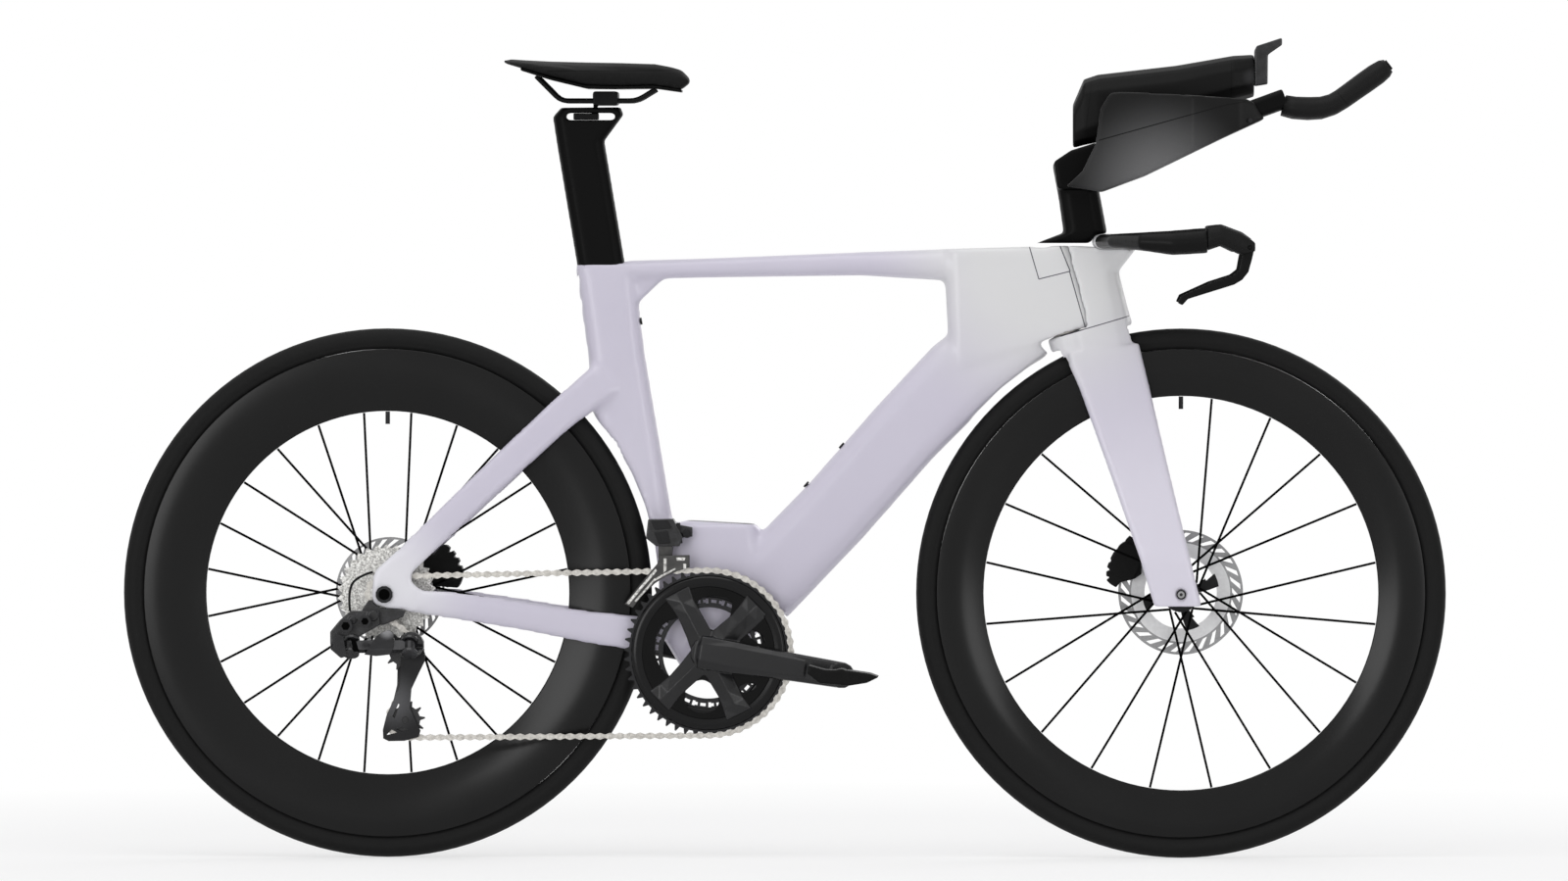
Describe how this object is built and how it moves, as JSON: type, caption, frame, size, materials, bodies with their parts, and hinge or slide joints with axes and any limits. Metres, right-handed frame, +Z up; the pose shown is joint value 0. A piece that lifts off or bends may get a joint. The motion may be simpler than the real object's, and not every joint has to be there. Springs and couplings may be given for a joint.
{
  "type": "time trial bike",
  "caption": "Time trial bike with a deep aero frame, deep-section wheels, disc brakes, electric derailleurs and a cockpit of arm cups, extensions and base bar.",
  "frame": {"origin": "on the ground, in the centre plane, midway between the two axles", "axes": "+X ahead, +Y to the left of the rider, +Z up; the drive side is at -Y"},
  "size_m": [1.687, 0.4402, 1.0453],
  "materials": {
    "painted_frame": "satin paint over moulded fibre",
    "black_fibre": "satin black fibre",
    "rim_fibre": "satin dark grey fibre",
    "tyre": "slick rubber",
    "rubber": "matt rubber",
    "black_plastic": "matt",
    "black_metal": "black anodised",
    "grey_metal": "grey anodised",
    "steel": "brushed",
    "black_steel": "black",
    "pad_foam": "soft cover over foam",
    "bottle_plastic": "satin"
  },
  "bodies": {
    "frame_body": {"frame": "painted_frame", "steerer_cover": "painted_frame", "storage_lid": "painted_frame", "frame_bolts": "black_steel", "bottom_bracket": "grey_metal", "headset_bearings": "steel", "rear_axle": "black_steel", "rear_caliper": "black_metal", "front_derailleur": "black_metal", "chain": "steel", "derailleur_hanger": "black_metal", "derailleur_body": "black_metal", "derailleur_wire": "rubber"},
    "post_body": {"seat_post": "black_fibre"},
    "saddle_body": {"saddle_clamp": "black_metal", "saddle_rails": "steel", "saddle_shell": "black_fibre", "saddle_pad": "pad_foam"},
    "rear_wheel": {"rear_tyre": "tyre", "rear_rim": "rim_fibre", "rear_spokes": "black_steel", "rear_hub": "black_metal", "rear_rotor": "steel", "rear_valve": "black_metal"},
    "cassette_body": {"cassette": "steel"},
    "link_body": {"derailleur_link": "black_metal"},
    "knuckle_body": {"derailleur_knuckle": "black_metal"},
    "cage_body": {"derailleur_cage": "black_metal"},
    "guide_body": {"guide_pulley": "black_metal"},
    "tension_body": {"tension_pulley": "black_metal"},
    "changer_body": {"front_derailleur_cage": "black_metal"},
    "crankset": {"crank_spindle": "steel", "crank_arm_right": "black_metal", "crank_arm_left": "black_metal", "chainrings": "grey_metal", "pedal_axles": "steel"},
    "pedal_right_body": {"pedal_right": "black_metal"},
    "pedal_left_body": {"pedal_left": "black_metal"},
    "steering": {"fork": "painted_frame", "base_bar": "black_fibre", "riser_post": "black_fibre", "arm_cups": "black_fibre", "arm_pads": "pad_foam", "extensions": "black_fibre", "extension_grips": "rubber", "hydration_bottle": "bottle_plastic", "computer_mount": "black_plastic", "brake_hoods": "rubber", "front_caliper": "black_metal", "front_axle": "black_steel"},
    "front_wheel": {"front_tyre": "tyre", "front_rim": "rim_fibre", "front_spokes": "black_steel", "front_hub": "black_metal", "front_rotor": "steel", "front_valve": "black_metal"},
    "lever_right_body": {"brake_lever_right": "black_metal"},
    "lever_left_body": {"brake_lever_left": "black_metal"},
    "button_right_body": {"shift_button_right": "black_plastic"},
    "button_left_body": {"shift_button_left": "black_plastic"}
  },
  "joints": [
    {"name": "steer", "type": "hinge", "parent": "frame_body", "child": "steering", "pos_m": [0.35977, 0, 0.66872], "axis": [-0.2924, 0, 0.9563], "range_deg": [-30, 30]},
    {"name": "front_wheel_spin", "type": "hinge", "parent": "steering", "child": "front_wheel", "pos_m": [0.506, 0, 0.3375], "axis": [0, 1, 0], "continuous": true},
    {"name": "rear_wheel_spin", "type": "hinge", "parent": "frame_body", "child": "rear_wheel", "pos_m": [-0.506, 0, 0.3375], "axis": [0, 1, 0], "continuous": true},
    {"name": "crank_spin", "type": "hinge", "parent": "frame_body", "child": "crankset", "pos_m": [-0.095, 0, 0.2625], "axis": [0, 1, 0], "continuous": true, "deforming": ["chain"]},
    {"name": "cassette_spin", "type": "hinge", "parent": "frame_body", "child": "cassette_body", "pos_m": [-0.506, 0, 0.3375], "axis": [0, 1, 0], "continuous": true},
    {"name": "pedal_right_spin", "type": "hinge", "parent": "crankset", "child": "pedal_right_body", "pos_m": [0.07528, 0, 0.23492], "axis": [0, 1, 0], "continuous": true},
    {"name": "pedal_left_spin", "type": "hinge", "parent": "crankset", "child": "pedal_left_body", "pos_m": [-0.26528, 0, 0.29008], "axis": [0, 1, 0], "continuous": true},
    {"name": "seat_post_slide", "type": "slide", "parent": "frame_body", "child": "post_body", "axis": [-0.165, 0, 0.9863], "range_m": [-0.06, 0.05]},
    {"name": "saddle_slide", "type": "slide", "parent": "post_body", "child": "saddle_body", "axis": [1, 0, 0], "range_m": [-0.006, 0.016]},
    {"name": "derailleur_swing", "type": "hinge", "parent": "frame_body", "child": "link_body", "pos_m": [-0.54692, -0.099, 0.27178], "axis": [0, 0.5736, 0.8192], "range_deg": [0, 38], "deforming": ["chain"]},
    {"name": "knuckle_counter", "type": "hinge", "parent": "link_body", "child": "knuckle_body", "pos_m": [-0.47292, -0.099, 0.27178], "axis": [0, 0.5736, 0.8192], "range_deg": [-39, 1]},
    {"name": "cage_swing", "type": "hinge", "parent": "knuckle_body", "child": "cage_body", "pos_m": [-0.4719, 0, 0.27364], "axis": [0, 1, 0], "range_deg": [-32, 5], "stiffness_Nm_per_rad": 0.6, "deforming": ["chain"]},
    {"name": "guide_pulley_spin", "type": "hinge", "parent": "cage_body", "child": "guide_body", "pos_m": [-0.48257, 0, 0.26458], "axis": [0, 1, 0], "continuous": true},
    {"name": "tension_pulley_spin", "type": "hinge", "parent": "cage_body", "child": "tension_body", "pos_m": [-0.47972, 0, 0.17746], "axis": [0, 1, 0], "continuous": true},
    {"name": "changer_swing", "type": "hinge", "parent": "frame_body", "child": "changer_body", "pos_m": [-0.14978, -0.036, 0.4041], "axis": [1, 0, 0], "range_deg": [0, 9]},
    {"name": "brake_lever_right_pull", "type": "hinge", "parent": "steering", "child": "lever_right_body", "pos_m": [0.59124, -0.205, 0.7785], "axis": [0, 1, 0], "range_deg": [0, 18], "stiffness_Nm_per_rad": 0.8, "springref_deg": -5.73},
    {"name": "brake_lever_left_pull", "type": "hinge", "parent": "steering", "child": "lever_left_body", "pos_m": [0.59124, 0.205, 0.7785], "axis": [0, 1, 0], "range_deg": [0, 18], "stiffness_Nm_per_rad": 0.8, "springref_deg": -5.73},
    {"name": "shift_button_right_press", "type": "slide", "parent": "steering", "child": "button_right_body", "axis": [-0.788, 0, -0.6157], "range_m": [0, 0.0016], "stiffness_N_per_m": 900, "springref_m": -0.0005},
    {"name": "shift_button_left_press", "type": "slide", "parent": "steering", "child": "button_left_body", "axis": [-0.788, 0, -0.6157], "range_m": [0, 0.0016], "stiffness_N_per_m": 900, "springref_m": -0.0005}
  ],
  "couplings": [
    {"joint": "cassette_spin", "follows": "crank_spin", "ratio": 4.7273},
    {"joint": "tension_pulley_spin", "follows": "crank_spin", "ratio": 4.7273},
    {"joint": "guide_pulley_spin", "follows": "crank_spin", "ratio": -4.7273},
    {"joint": "knuckle_counter", "follows": "derailleur_swing", "ratio": -1}
  ]
}
